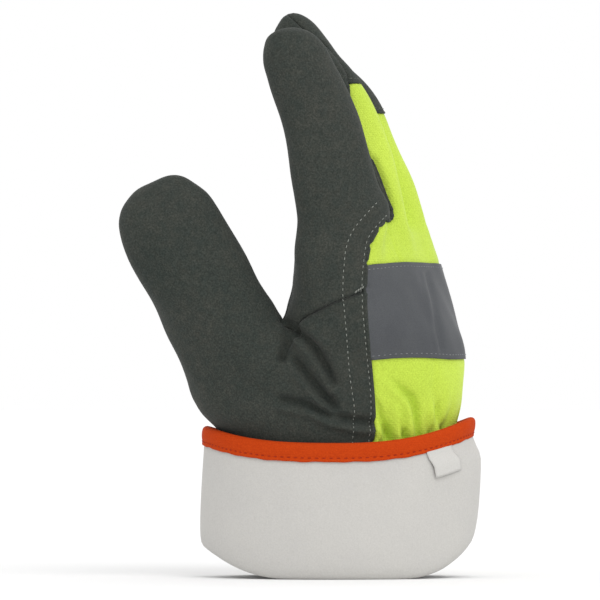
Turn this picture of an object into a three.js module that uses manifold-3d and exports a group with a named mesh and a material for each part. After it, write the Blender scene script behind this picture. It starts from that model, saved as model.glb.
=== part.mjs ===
// Winter work glove for the right hand, standing fingers up on the fold of its turned-up cuff.
// Millimetres. +X is the back of the hand, -X the palm, -Y the thumb side, +Z the fingertips.
// The origin is on the surface the glove stands on, under the middle of its outline.

import * as THREE from "three";
import { mergeVertices } from "three/addons/utils/BufferGeometryUtils.js";
import Module from "manifold-3d";

// Walls and gaps
const WALL = 2.4; // leather or fabric with the warm lining behind it
const CUFF_WALL = 2.2;
const GAP = 0.3; // left between neighbouring pieces
const BINDING_THICKNESS = 0.9;
const TAPE_THICKNESS = 0.7;
const LABEL_THICKNESS = 0.6;

// Number of points round each tube
const HAND_POINTS = 36;
const FINGER_POINTS = 18;
const THUMB_POINTS = 24;
const HOLLOW_SHARE = 0.67; // the hollows have fewer points round them than the outside
const CUFF_POINTS = 52;

// The hand without its fingers: edges of the oval at each height.
// lean is how far the oval drifts to +X for each millimetre of +Y: the row of fingers is twisted.
const WRIST_SEAM = 46;
const HAND = table(["z", "left", "right", "front", "back", "lean"], [
  [WRIST_SEAM, -33.5, 65, -33.5, 33.5, 0],
  [60, -34, 66.5, -34, 34, 0],
  [67, -35, 67.8, -34.6, 34.8, 0],
  [77, -36, 70.7, -36, 36.8, 0.03],
  [87, -34, 71.8, -38.5, 39.3, 0.08],
  [100, -26, 71.2, -42, 43, 0.16],
  [113, -9.4, 68.7, -45.4, 46, 0.25],
  [122.5, -5.6, 66.4, -47, 47.5, 0.32],
  [133, -3.5, 63.6, -47.8, 48, 0.37],
  [145, -2.8, 59.4, -47.8, 47.8, 0.38],
  [153, -2, 56.2, -46.5, 46.5, 0.38],
  [157, 3, 50, -41, 41, 0.38],
]);

// The thumb with the ball of the thumb down to the wrist
const THUMB = table(["z", "left", "right", "front", "back"], [
  [63, -27, 30, -28, 9],
  [67, -33, 32, -30, 9],
  [71, -39.5, 33, -31, 9],
  [78, -45.8, 32, -33, 8],
  [88, -50.4, 25, -35.5, 5],
  [100.5, -55.4, 12, -38.5, 0],
  [113.7, -61.6, -8.2, -41, -7],
  [122.5, -66, -13.6, -42.5, -12],
  [131.3, -70.8, -18.5, -43, -15],
  [140.1, -75.2, -23.3, -43.5, -17],
  [149, -78.8, -28.3, -43.5, -18.5],
  [157.5, -79.8, -33.2, -43, -19.5],
  [163.5, -78.4, -36.5, -42, -20.5],
  [169, -75, -40.5, -40.3, -22],
  [173.6, -68.5, -46.4, -37.6, -24.8],
  [177.3, -58.5, -54, -33, -29],
]);

// The four fingers: where each sits across the hand, and the edges and half depth of its oval
// at each height
const FINGER_LEAN = 0.3;
const FINGER_COLUMNS = ["z", "left", "right", "half"];
const FINGERS = {
  index: {
    y: -36,
    rows: table(FINGER_COLUMNS, [
      [146, -2.6, 35.5, 10.8],
      [157, -2.4, 37.8, 11.3],
      [164, -2.7, 37.8, 11.4],
      [172, -3.3, 35, 11.4],
      [181, -4.5, 32.6, 11.4],
      [193, -6.6, 29, 11.4],
      [206.6, -9.8, 24.8, 11.3],
      [219, -13.6, 19.2, 11.1],
      [227, -16.4, 14.2, 10.8],
      [233.4, -16.5, 9.6, 9.8],
      [238, -14.3, 5.2, 7.6],
      [240.9, -8, -0.5, 3.8],
    ]),
  },
  middle: {
    y: -12,
    rows: table(FINGER_COLUMNS, [
      [146, 4, 48.5, 10.8],
      [160, 8.5, 46.6, 11.4],
      [175, 6.4, 43.4, 11.4],
      [190, 3, 39.2, 11.4],
      [204, -0.8, 34.1, 11.3],
      [216.3, -5.7, 27.3, 11.1],
      [225.5, -10.3, 21.1, 10.9],
      [230.5, -11.6, 16.8, 10.5],
      [235.4, -12.1, 13.1, 9.8],
      [240.5, -11.4, 8.8, 8.4],
      [245, -8.9, 4.2, 6],
      [248.1, -5.6, -1.4, 2.2],
    ]),
  },
  ring: {
    y: 12,
    rows: table(FINGER_COLUMNS, [
      [146, 10, 56.5, 10.8],
      [158, 16.4, 54.7, 11.4],
      [168, 15.6, 51.4, 11.4],
      [183, 11, 46, 11.4],
      [195.3, 7, 41.5, 11.3],
      [204, 3.6, 37.6, 11.2],
      [212, -0.4, 32.8, 11],
      [219, -3, 27.6, 10.7],
      [225.5, -3.8, 21.4, 10],
      [231, -2, 15.4, 7.8],
      [235, 3.2, 9, 3.2],
    ]),
  },
  little: {
    y: 36,
    rows: table(FINGER_COLUMNS, [
      [146, 22, 57.4, 10.6],
      [157, 22.6, 54.6, 11],
      [168, 21.2, 51, 11],
      [180, 18.4, 46, 10.8],
      [190, 15.8, 41.2, 10.5],
      [198, 14.6, 35.6, 9.6],
      [203.6, 16.2, 30.2, 7],
      [207, 20.6, 25.4, 2.8],
    ]),
  },
};

// Borders between the pieces, as points X, Z seen from the thumb side
const LEATHER_EDGE = [
  [32.3, 30], [32.3, 60.2], [33.2, 71.9], [32.6, 80.3], [31.2, 97.5], [29.3, 122.5],
  [29.9, 138.5], [30.4, 142.2], [31.3, 146.9], [32.7, 150.8], [35, 154.5], [37.6, 157.6],
];
const LITTLE_SIDE_EDGE = [[15, 30], [16, 60], [21, 80], [33, 105], [43, 130], [44.5, 142]];
const THUMB_SEAM = [
  [-9, 112.6], [-3.8, 113], [2.5, 115.6], [8.4, 118.4], [13.7, 121.1], [19.1, 122.9], [25.4, 125.2],
  [29.3, 128.3],
];
const BETWEEN_INDEX_AND_MIDDLE = -24;
const THUMB_PANEL_BACK = -6; // the palm seam round the ball of the thumb
const FINGER_FRONT_SEAM = 149; // the seam across the base of the two middle fingers, palm side
const CAP_EDGE = { middle: 217, ring: 204, little: 178 };

// Gathers on the fabric above the cuff, and the folds that run out from the crotch of the thumb
// first, last and step are degrees round the hand from +X.
const GATHERS = { low: 58, high: 77, width: 2.4, depth: 0.9, first: -66, last: 66, step: 11 };
const FOLDS = [
  { width: 3, depth: 0.9, path: [[-1.9, 108.5], [4.8, 102.9], [9.9, 94.5], [14.4, 85.5]] },
  { width: 3, depth: 0.7, path: [[-0.2, 95.6], [5.4, 86.6], [9.9, 79.9], [15.5, 74.8]] },
];

// Reflective tape across the back of the hand
const TAPE = { low: 96.8, high: 138.6 };

// The turned-up cuff. The fold is flat where it rests and rises towards its two ends.
const CUFF = {
  inner: { x: 15.75, halfX: 49.25, halfY: 33.5 }, // the layer that carries on down from the wrist
  outer: { x: 18.8, halfX: 60, halfY: 41 }, // the layer turned up outside it, at the hem
  drift: 0.07, // how far the outer layer slips to -X for each millimetre below the hem
  foldFlatShare: 0.38,
  foldLeft: { rise: 14, curve: 2.3 }, // a higher curve keeps the fold low for longer
  foldRight: { rise: 13, curve: 4 },
  hemLow: 59.2,
  hemRiseLeft: 8.4,
  hemRiseRight: 10.8,
};
const BINDING_HEIGHT = 7.8;
const LABEL = {
  fromDegrees: -50.6,
  toDegrees: -35,
  top: 54.2,
  topRise: 3.4,
  bottom: 45,
  bottomRise: 2.4,
};

// Colours
const LEATHER = 0x3f4340;
const FABRIC = 0xc6e052;
const TAPE_GREY = 0x8a8c8e;
const CUFF_WHITE = 0xd8d6d2;
const ORANGE = 0xc4481c;
const LABEL_WHITE = 0xe6e4de;

const wasm = await Module();
wasm.setup();
const { Manifold, Mesh } = wasm;

// A table whose rows are read by the names of its columns
function table(names, rows) {
  return rows.map((row) => Object.fromEntries(names.map((name, i) => [name, row[i]])));
}

function solidOf(geometry) {
  geometry.deleteAttribute("normal");
  geometry.deleteAttribute("uv");
  const merged = mergeVertices(geometry, 1e-5);
  return new Manifold(
    new Mesh({
      numProp: 3,
      vertProperties: merged.attributes.position.array,
      triVerts: new Uint32Array(merged.index.array),
    }),
  );
}

function geometryFrom(points, triangles) {
  const geometry = new THREE.BufferGeometry();
  geometry.setAttribute("position", new THREE.Float32BufferAttribute(points.flat(), 3));
  geometry.setIndex(triangles);
  return geometry;
}

// Skin over rings of points, from the lowest ring to the highest, with a fan over each end
function loft(rings) {
  const count = rings[0].length;
  const points = rings.flat();
  const triangles = [];
  for (let row = 0; row + 1 < rings.length; row++)
    for (let i = 0; i < count; i++) {
      const a = row * count + i;
      const b = row * count + ((i + 1) % count);
      triangles.push(a, b, b + count, a, b + count, a + count);
    }
  for (const [row, way] of [[0, -1], [rings.length - 1, 1]]) {
    const ring = rings[row];
    const middle = [0, 1, 2].map((axis) => ring.reduce((sum, p) => sum + p[axis], 0) / count);
    const centre = points.push(middle) - 1;
    for (let i = 0; i < count; i++) {
      const a = row * count + i;
      const b = row * count + ((i + 1) % count);
      triangles.push(...(way > 0 ? [a, b, centre] : [b, a, centre]));
    }
  }
  return solidOf(geometryFrom(points, triangles));
}

// Skin over closed profiles set round a closed path, such as a hoop with a cross-section
function hoop(profiles) {
  const around = profiles.length;
  const count = profiles[0].length;
  const triangles = [];
  for (let i = 0; i < around; i++)
    for (let k = 0; k < count; k++) {
      const a = i * count + k;
      const b = i * count + ((k + 1) % count);
      const c = ((i + 1) % around) * count + k;
      const d = ((i + 1) % around) * count + ((k + 1) % count);
      triangles.push(a, d, b, a, c, d);
    }
  return solidOf(geometryFrom(profiles.flat(), triangles));
}

// An outline in X and Z carried through from one Y to another
function prism(outline, fromY, toY) {
  const shape = new THREE.Shape(outline.map(([x, z]) => new THREE.Vector2(x, z)));
  const geometry = new THREE.ExtrudeGeometry(shape, { depth: toY - fromY, bevelEnabled: false });
  geometry.rotateX(Math.PI / 2); // the outline stands up and its depth runs towards -Y
  geometry.translate(0, toY, 0);
  return solidOf(geometry);
}

function box(x0, x1, y0, y1, z0, z1) {
  return prism([[x0, z0], [x1, z0], [x1, z1], [x0, z1]], y0, y1);
}

// The oval of one table row, grown outwards by some millimetres
function oval(row, grow, count) {
  const halfX = (row.right - row.left) / 2 + grow;
  const halfY = (row.back - row.front) / 2 + grow;
  const lean = row.lean ?? 0;
  const across = Math.sqrt(halfX * halfX - (lean * halfY) ** 2);
  const middleX = (row.left + row.right) / 2;
  const middleY = (row.front + row.back) / 2;
  return Array.from({ length: count }, (_, i) => {
    const angle = (2 * Math.PI * i) / count;
    const y = halfY * Math.sin(angle);
    return [middleX + across * Math.cos(angle) + lean * y, middleY + y, row.z];
  });
}

function tube(rows, count, grow = 0) {
  return loft(rows.map((row) => oval(row, grow, count)));
}

// The space inside a tube: it stops at the last oval that is wide enough, which leaves a wall at the tip
function hollow(rows, count) {
  const roomy = rows.filter(
    (row) => row.right - row.left > 2 * WALL + 3 && row.back - row.front > 2 * WALL + 3,
  );
  return tube(roomy, Math.round(count * HOLLOW_SHARE), -WALL);
}

const join = (parts) => Manifold.union(parts);
const mirrorPair = [-1, 1];

// The same body with its surface moved out a little along each axis, for leaving a gap round it
function loosened(part) {
  const moves = [0, 1, 2].flatMap((axis) =>
    mirrorPair.map((way) => [0, 1, 2].map((k) => (k === axis ? way * GAP : 0))),
  );
  return join([part, ...moves.map((move) => part.translate(move))]);
}

// The biggest body of a part, without the slivers that a cut leaves
function largest(part) {
  const bodies = part.decompose();
  return bodies.reduce((best, body) => (body.volume() > best.volume() ? body : best));
}

// Finger tables written out with both edges in Y
const fingerRows = Object.fromEntries(
  Object.entries(FINGERS).map(([name, { y, rows }]) => [
    name,
    rows.map((row) => ({ ...row, front: y - row.half, back: y + row.half, lean: FINGER_LEAN })),
  ]),
);

// Hand row at any height, straight between the rows of the table
function handRow(z) {
  const above = HAND.findIndex((row) => row.z >= z);
  if (above <= 0) return { ...HAND[Math.max(above, 0)], z };
  const [low, high] = [HAND[above - 1], HAND[above]];
  const share = (z - low.z) / (high.z - low.z);
  const between = (key) => [key, low[key] + (high[key] - low[key]) * share];
  return Object.fromEntries(Object.keys(low).map(between));
}

// A shallow groove: a long spindle lying half in the surface along a path of points
function groove(path, width, depth) {
  const steps = path.length - 1;
  const rings = path.map(([x, y, z], i) => {
    const size = 0.15 + Math.sin((Math.PI * i) / steps);
    const along = new THREE.Vector3(...path[Math.min(i + 1, steps)]).sub(
      new THREE.Vector3(...path[Math.max(i - 1, 0)]),
    );
    const outward = new THREE.Vector3(x - 16, y, 0).normalize();
    const sideways = new THREE.Vector3().crossVectors(along, outward).normalize();
    const corners = [[0, -depth], [width / 2, 0.3], [0, 1.2], [-width / 2, 0.3]];
    return corners.map(([side, out]) => [
      x + (sideways.x * side + outward.x * out) * size,
      y + (sideways.y * side + outward.y * out) * size,
      z + sideways.z * side * size,
    ]);
  });
  return loft(rings.reverse());
}

// Points of a path on the thumb side of the hand or of the ball of the thumb
function onThumbSide([x, z]) {
  const depths = oval(handRow(z), 0, 360).filter((p) => p[1] < 0);
  const nearest = depths.reduce((best, p) => (Math.abs(p[0] - x) < Math.abs(best[0] - x) ? p : best));
  return [x, nearest[1], z];
}

function gatherPath(degrees) {
  const steps = 4;
  const index = Math.round(((degrees + 360) % 360) * 10);
  return Array.from({ length: steps + 1 }, (_, i) => {
    const z = GATHERS.low + ((GATHERS.high - GATHERS.low) * i) / steps;
    return oval(handRow(z), 0, 3600)[index];
  });
}

// The whole glove above the wrist seam as one hollow body with open wrist
const outside = join([
  tube(HAND, HAND_POINTS),
  tube(THUMB, THUMB_POINTS),
  ...Object.values(fingerRows).map((rows) => tube(rows, FINGER_POINTS)),
]);
const wristThrough = { ...HAND[0], z: WRIST_SEAM - 5 };
const inside = join([
  hollow([wristThrough, ...HAND.slice(0, -1)], HAND_POINTS),
  hollow(THUMB, THUMB_POINTS),
  ...Object.values(fingerRows).map((rows) => hollow(rows, FINGER_POINTS)),
]);
const gathers = [];
for (let degrees = GATHERS.first; degrees <= GATHERS.last; degrees += GATHERS.step)
  gathers.push(groove(gatherPath(degrees), GATHERS.width, GATHERS.depth));
const folds = FOLDS.map(({ path, width, depth }) => groove(path.map(onThumbSide), width, depth));
const shell = outside.subtract(inside).subtract(join([...gathers, ...folds]));

// The fabric covers the back of the hand and the backs of three fingers
const FAR = 120;
const midLine = (rows) => rows.map((row) => [(row.left + row.right) / 2, row.z]);
function backZone(edge, fromY, toY) {
  const top = edge[edge.length - 1][1];
  return prism([...edge, [FAR, top], [FAR, edge[0][1]]], fromY, toY);
}
function backOfFinger(name, low) {
  const middle = midLine(fingerRows[name]);
  return [...low, ...middle, [middle.at(-1)[0], 260]];
}
const fabricZone = join([
  backZone(LEATHER_EDGE, -60, BETWEEN_INDEX_AND_MIDDLE + 0.5),
  backZone(backOfFinger("middle", [[26, 30]]), BETWEEN_INDEX_AND_MIDDLE, 0),
  backZone(backOfFinger("ring", [[26, 30]]), -0.5, 24),
  backZone(backOfFinger("little", LITTLE_SIDE_EDGE), 23.5, 60),
]);
const capZone = {
  middle: box(-60, FAR, BETWEEN_INDEX_AND_MIDDLE, 0, CAP_EDGE.middle, 260),
  ring: box(-60, FAR, 0, 24, CAP_EDGE.ring, 260),
  little: box(-60, FAR, 24, 60, CAP_EDGE.little, 260),
};
const fabricAndCaps = shell.intersect(fabricZone);
const backPanel = largest(fabricAndCaps.subtract(loosened(join(Object.values(capZone)))));
const cap = (name) => largest(fabricAndCaps.intersect(capZone[name]));

// The leather: index finger with the edge of the palm, thumb, palm, and the fronts
// of the two middle fingers
const leather = shell.subtract(loosened(fabricZone));
const indexZone = prism(
  [...THUMB_SEAM, [FAR, THUMB_SEAM.at(-1)[1]], [FAR, 260], [-30, 260], [-30, 175], [-9, 118]],
  -60,
  BETWEEN_INDEX_AND_MIDDLE,
);
const thumbOutline = [
  [-120, 30],
  [FAR, 30],
  [FAR, 128],
  ...[...THUMB_SEAM].reverse(),
  [-9, 118],
  [-30, 175],
  [-30, 200],
  [-120, 200],
];
const thumbZone = prism(thumbOutline, -60, THUMB_PANEL_BACK);
const middleFrontZone = box(-60, FAR, BETWEEN_INDEX_AND_MIDDLE, 0, FINGER_FRONT_SEAM, 260);
const ringFrontZone = box(-60, FAR, 0, 24, FINGER_FRONT_SEAM, 260);
const indexPanel = largest(leather.intersect(indexZone));
const thumbPanel = largest(leather.intersect(thumbZone).subtract(loosened(indexZone)));
const palmZones = [indexZone, thumbZone, middleFrontZone, ringFrontZone];
const palmPanel = largest(leather.subtract(loosened(join(palmZones))));
const middleFront = largest(leather.intersect(middleFrontZone).subtract(loosened(indexZone)));
const ringFront = largest(leather.intersect(ringFrontZone).subtract(loosened(middleFrontZone)));

// Tape lying on the fabric from the leather edge round to the far side
const tapeRows = [TAPE.low, 104, 112, 122.5, 131, TAPE.high].map(handRow);
const tapeSleeve = tube(tapeRows, HAND_POINTS, GAP + TAPE_THICKNESS);
const underTape = tube([handRow(TAPE.low - 5), ...tapeRows, handRow(TAPE.high + 5)], HAND_POINTS, GAP);
const tapeBand = tapeSleeve.subtract(underTape);
const reflectiveTape = largest(tapeBand.intersect(fabricZone.translate([0.5, 0, 0])));

// Heights of the fold and of the hem round the cuff
function foldHeight(angle) {
  const share = (Math.abs(Math.cos(angle)) - CUFF.foldFlatShare) / (1 - CUFF.foldFlatShare);
  const { rise, curve } = Math.cos(angle) < 0 ? CUFF.foldLeft : CUFF.foldRight;
  return rise * Math.max(share, 0) ** curve;
}

function hemHeight(angle) {
  const rise = Math.cos(angle) < 0 ? CUFF.hemRiseLeft : CUFF.hemRiseRight;
  return CUFF.hemLow + rise * Math.abs(Math.cos(angle)) ** 2.4;
}

// A point of the cuff: on one of its two layers, moved outwards by some millimetres
function cuffPoint(layer, angle, out, z) {
  const x = layer.x - (layer === CUFF.outer ? CUFF.drift * (hemHeight(angle) - z) : 0);
  return [x + (layer.halfX + out) * Math.cos(angle), (layer.halfY + out) * Math.sin(angle), z];
}

const aroundCuff = (profile) =>
  Array.from({ length: CUFF_POINTS }, (_, i) => profile((2 * Math.PI * i) / CUFF_POINTS));

// Wall of the cuff: down inside, round the fold and up outside to the hem
function cuffProfile(angle) {
  const fold = foldHeight(angle);
  const hem = hemHeight(angle) - BINDING_THICKNESS - GAP;
  const top = WRIST_SEAM - GAP;
  return [
    cuffPoint(CUFF.inner, angle, -CUFF_WALL, top),
    cuffPoint(CUFF.inner, angle, -CUFF_WALL, fold + 9),
    cuffPoint(CUFF.inner, angle, -CUFF_WALL + 0.9, fold + 3.2),
    cuffPoint(CUFF.inner, angle, 0.6, fold),
    cuffPoint(CUFF.outer, angle, -2.6, fold),
    cuffPoint(CUFF.outer, angle, -0.6, fold + 2.6),
    cuffPoint(CUFF.outer, angle, 0.3, fold + 8),
    cuffPoint(CUFF.outer, angle, 0.7, fold + 22),
    cuffPoint(CUFF.outer, angle, 0, hem),
    cuffPoint(CUFF.outer, angle, -CUFF_WALL, hem),
    cuffPoint(CUFF.outer, angle, -CUFF_WALL + 0.5, fold + 22),
    cuffPoint(CUFF.outer, angle, -CUFF_WALL - 0.2, fold + 7),
    cuffPoint(CUFF.outer, angle, -CUFF_WALL - 1.2, fold + CUFF_WALL + 1),
    cuffPoint(CUFF.inner, angle, 0.8, fold + CUFF_WALL + 1),
    cuffPoint(CUFF.inner, angle, 0, fold + 7.5),
    cuffPoint(CUFF.inner, angle, 0, top),
  ];
}
const cuff = hoop(aroundCuff(cuffProfile));

// Binding folded over the hem
function bindingProfile(angle) {
  const hem = hemHeight(angle);
  const low = hem - BINDING_HEIGHT;
  const outside = GAP + BINDING_THICKNESS;
  const inside = -CUFF_WALL - GAP - BINDING_THICKNESS;
  return [
    cuffPoint(CUFF.outer, angle, inside, low + 1),
    cuffPoint(CUFF.outer, angle, inside + BINDING_THICKNESS, low + 1),
    cuffPoint(CUFF.outer, angle, inside + BINDING_THICKNESS, hem - BINDING_THICKNESS),
    cuffPoint(CUFF.outer, angle, GAP, hem - BINDING_THICKNESS),
    cuffPoint(CUFF.outer, angle, GAP + 0.1, low),
    cuffPoint(CUFF.outer, angle, outside + 0.1, low),
    cuffPoint(CUFF.outer, angle, outside, hem - 1.2),
    cuffPoint(CUFF.outer, angle, outside - 0.8, hem),
    cuffPoint(CUFF.outer, angle, inside + 0.8, hem),
    cuffPoint(CUFF.outer, angle, inside, hem - 1.2),
  ];
}
const cuffBinding = hoop(aroundCuff(bindingProfile));

// Small label hanging below the binding, following the curve of the cuff
function labelRing(share) {
  const degrees = LABEL.fromDegrees + (LABEL.toDegrees - LABEL.fromDegrees) * share;
  const angle = THREE.MathUtils.degToRad(degrees);
  const low = LABEL.bottom + LABEL.bottomRise * share;
  const high = LABEL.top + LABEL.topRise * share;
  const near = 0.8 + GAP;
  return [
    cuffPoint(CUFF.outer, angle, near, low),
    cuffPoint(CUFF.outer, angle, near + LABEL_THICKNESS, low),
    cuffPoint(CUFF.outer, angle, near - 0.4 + LABEL_THICKNESS, high),
    cuffPoint(CUFF.outer, angle, near - 0.4, high),
  ];
}
const label = loft([1, 0.75, 0.5, 0.25, 0].map(labelRing));

// Each body as a named mesh with its own material
const glove = new THREE.Group();

function add(name, solid, color, roughness) {
  const { vertProperties, triVerts } = solid.getMesh();
  const geometry = new THREE.BufferGeometry();
  geometry.setAttribute("position", new THREE.BufferAttribute(vertProperties, 3));
  geometry.setIndex(new THREE.BufferAttribute(triVerts, 1));
  geometry.computeVertexNormals();
  const mesh = new THREE.Mesh(geometry, new THREE.MeshStandardMaterial({ color, roughness }));
  mesh.name = name;
  glove.add(mesh);
}

add("palm_panel", palmPanel, LEATHER, 0.85);
add("thumb_panel", thumbPanel, LEATHER, 0.85);
add("index_finger", indexPanel, LEATHER, 0.85);
add("middle_front", middleFront, LEATHER, 0.85);
add("ring_front", ringFront, LEATHER, 0.85);
add("middle_cap", cap("middle"), LEATHER, 0.85);
add("ring_cap", cap("ring"), LEATHER, 0.85);
add("little_cap", cap("little"), LEATHER, 0.85);
add("back_panel", backPanel, FABRIC, 0.8);
add("reflective_tape", reflectiveTape, TAPE_GREY, 0.45);
add("cuff", cuff, CUFF_WHITE, 0.9);
add("cuff_binding", cuffBinding, ORANGE, 0.7);
add("label", label, LABEL_WHITE, 0.7);

export default glove;
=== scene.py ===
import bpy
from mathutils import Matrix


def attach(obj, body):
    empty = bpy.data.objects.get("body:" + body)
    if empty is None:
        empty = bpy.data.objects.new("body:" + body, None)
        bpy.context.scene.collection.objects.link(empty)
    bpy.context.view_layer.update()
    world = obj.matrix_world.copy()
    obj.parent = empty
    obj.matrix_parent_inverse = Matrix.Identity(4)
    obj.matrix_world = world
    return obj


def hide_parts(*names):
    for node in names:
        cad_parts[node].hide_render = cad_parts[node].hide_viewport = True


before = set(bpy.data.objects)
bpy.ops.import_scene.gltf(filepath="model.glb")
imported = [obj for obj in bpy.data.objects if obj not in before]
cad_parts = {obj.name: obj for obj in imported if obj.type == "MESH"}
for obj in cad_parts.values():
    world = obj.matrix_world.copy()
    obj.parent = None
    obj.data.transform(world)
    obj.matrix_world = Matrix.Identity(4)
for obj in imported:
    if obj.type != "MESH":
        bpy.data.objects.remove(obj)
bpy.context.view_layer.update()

import math

import bmesh
import bpy
import numpy as np
from mathutils import Vector
from mathutils.bvhtree import BVHTree

# The stuffed form of the glove, which the leather and the fabric are sewn to follow.
# It is worked out as one smooth surface round the hand, the thumb and the four fingers. Each row is an
# oval section in millimetres, with its edges in X and Y, or for a finger with half its depth in Y.
MM = 0.001
HAND_COLUMNS = ("z", "left", "right", "front", "back", "lean")
HAND_ROWS = [
    (40, -33, 64, -33.2, 33.2, 0),
    (53, -33.7, 65.7, -33.7, 33.7, 0),
    (60, -34.3, 66.5, -34, 34, 0),
    (67, -36, 68.4, -34.6, 34.8, 0),
    (77, -38, 71.1, -36, 36.8, 0.03),
    (87, -35, 72, -38.5, 39.3, 0.08),
    (100, -26, 71.4, -42, 43, 0.16),
    (113, -8.8, 68.9, -45.4, 46, 0.25),
    (122.5, -4.4, 66.5, -47, 47.5, 0.32),
    (133, -3, 63.7, -47.8, 48, 0.37),
    (145, -2.2, 59.7, -47.8, 47.8, 0.38),
    (153, 0, 56, -45.5, 45.5, 0.38),
    (158, 7, 47, -38, 38, 0.38),
]
THUMB_COLUMNS = ("z", "left", "right", "front", "back")
THUMB_ROWS = [
    (60, -20, 28, -26, 8),
    (66, -31, 31, -29, 9),
    (71, -40.3, 33, -31, 9),
    (78, -46, 32, -33, 8),
    (88, -50.5, 25, -35.5, 5),
    (100.5, -55.4, 11, -38.5, 0),
    (113.7, -61.6, -8.2, -41, -7),
    (122.5, -66, -13.6, -42.5, -12),
    (131.3, -70.8, -19, -43, -15),
    (140.1, -75.2, -23.6, -43.5, -17),
    (149, -78.2, -28.5, -43.5, -18.5),
    (157.5, -79.2, -33.2, -43, -19.5),
    (163.5, -77.7, -36.9, -42, -20.5),
    (169, -73.2, -41.4, -40.3, -22),
    (173.4, -66.2, -48, -37.6, -24.8),
    (176.2, -58.6, -54.4, -33, -29),
]
FINGER_COLUMNS = ("z", "left", "right", "half")
FINGER_PLACES = {"index": -36.0, "middle": -12.0, "ring": 12.0, "little": 36.0}
FINGER_ROWS = {
    "index": [
        (118, 8, 30, 6), (132, 1, 33, 9), (146, -1.4, 36, 11), (157, -1.6, 38, 11.4),
        (164, -2.1, 38, 11.4), (172, -2.8, 34.4, 11.4), (181, -4.2, 31.7, 11.4),
        (193, -6.6, 27.7, 11.4), (206.6, -9.8, 23.4, 11.3), (219, -13.6, 18.1, 11.1),
        (227, -16.4, 13.4, 10.8), (233.4, -16.5, 9.6, 9.8), (238, -14.3, 5.2, 7.6),
        (240.8, -8.5, -0.5, 3.8),
    ],
    "middle": [
        (118, 14, 46, 6), (132, 7, 48, 9), (147, 5, 48.2, 11.2), (160, 8.2, 46.8, 11.4),
        (175, 6.4, 43.4, 11.4), (190, 3, 39.2, 11.4), (204, -0.8, 34.1, 11.3),
        (216.3, -5.7, 27.3, 11.1), (225.5, -10.3, 21.1, 10.9), (230.5, -11.6, 16.8, 10.5),
        (235.4, -12.1, 13.1, 9.8), (240.5, -11.4, 8.8, 8.4), (245, -8.9, 4.2, 6),
        (248, -5.2, -1.6, 2),
    ],
    "ring": [
        (118, 20, 53, 6), (132, 14, 58, 9), (147, 12.5, 58.4, 11.2), (158, 15.8, 55.8, 11.4),
        (168, 15.6, 51.9, 11.4), (183, 11, 46, 11.4), (195.3, 7, 41.5, 11.3),
        (204, 3.6, 37.6, 11.2), (212, -0.4, 32.8, 11), (219, -3, 27.6, 10.7),
        (225.5, -3.8, 21.4, 10), (231, -2, 15.4, 7.8), (234.8, 3.2, 9, 3.2),
    ],
    "little": [
        (118, 30, 55, 6), (132, 25, 57, 9), (147, 22.4, 56.4, 10.8), (157, 22.4, 54.6, 11),
        (168, 21.2, 51, 11), (180, 18.4, 46, 10.8), (190, 15.8, 41.2, 10.5), (198, 14.6, 35.6, 9.6),
        (203.6, 16.2, 30.2, 7), (206.8, 20.6, 25.4, 2.8),
    ],
}
FINGER_LEAN = 0.30
FINGER_FOOT = 120.0
THUMB_FOOT = 63.0
THUMB_BLEND_HEIGHTS = (96.0, 109.0)
THUMB_BLENDS = (9.0, 1.2)
FINGER_BLEND = 4.5


def smooth_through(heights, values):
    """A smooth line through the values, carried on straight past both ends."""
    heights = np.asarray(heights, float)
    values = np.asarray(values, float)
    slopes = np.gradient(values, heights)
    fine = np.unique(np.concatenate((heights, np.linspace(heights[0], heights[-1], 600))))
    step = np.clip(np.searchsorted(heights, fine) - 1, 0, len(heights) - 2)
    length = heights[step + 1] - heights[step]
    t = (fine - heights[step]) / length
    line = (
        (2 * t**3 - 3 * t**2 + 1) * values[step]
        + (t**3 - 2 * t**2 + t) * slopes[step] * length
        + (3 * t**2 - 2 * t**3) * values[step + 1]
        + (t**3 - t**2) * slopes[step + 1] * length
    )
    beyond = 400.0  # millimetres that the line is carried on past its ends
    fine = np.concatenate(([fine[0] - beyond], fine, [fine[-1] + beyond]))
    line = np.concatenate(([line[0] - beyond * slopes[0]], line, [line[-1] + beyond * slopes[-1]]))
    return lambda z: np.interp(z, fine, line)


def section_lines(columns, rows, y=None, lean=0.0):
    """The middle, half width, depth and lean of the sections as smooth lines over the height."""
    table = {name: np.array([row[i] for row in rows], float) for i, name in enumerate(columns)}
    z = table["z"]
    half_x = (table["right"] - table["left"]) / 2
    if y is None:
        middle_y = (table["front"] + table["back"]) / 2
        half_y = (table["back"] - table["front"]) / 2
    else:
        middle_y = np.full(len(z), y)
        half_y = table["half"]
    drift = table.get("lean", np.full(len(z), lean))
    across = np.sqrt(half_x**2 - (drift * half_y) ** 2)
    return {
        "x": smooth_through(z, (table["left"] + table["right"]) / 2),
        "y": smooth_through(z, middle_y),
        "across_squared": smooth_through(z, across**2),
        "depth_share": smooth_through(z, half_y / across),
        "lean": smooth_through(z, drift),
    }


HAND_LINES = section_lines(HAND_COLUMNS, HAND_ROWS)
THUMB_LINES = section_lines(THUMB_COLUMNS, THUMB_ROWS)
FINGER_LINES = {
    name: section_lines(FINGER_COLUMNS, rows, FINGER_PLACES[name], FINGER_LEAN)
    for name, rows in FINGER_ROWS.items()
}


def oval_parts(lines, x, y, z):
    """Where a point lies in the leaning oval at its height, and that oval's size."""
    dy = y - lines["y"](z)
    lean = lines["lean"](z)
    dx = x - lines["x"](z) - lean * dy
    share = np.clip(lines["depth_share"](z), 0.3, 3.0)
    return dx, dy, lean, share, lines["across_squared"](z)


def oval_value(lines, x, y, z):
    """Below zero inside the tube, in square millimetres."""
    dx, dy, _, share, across_squared = oval_parts(lines, x, y, z)
    return dx**2 + (dy / share) ** 2 - across_squared


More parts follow.
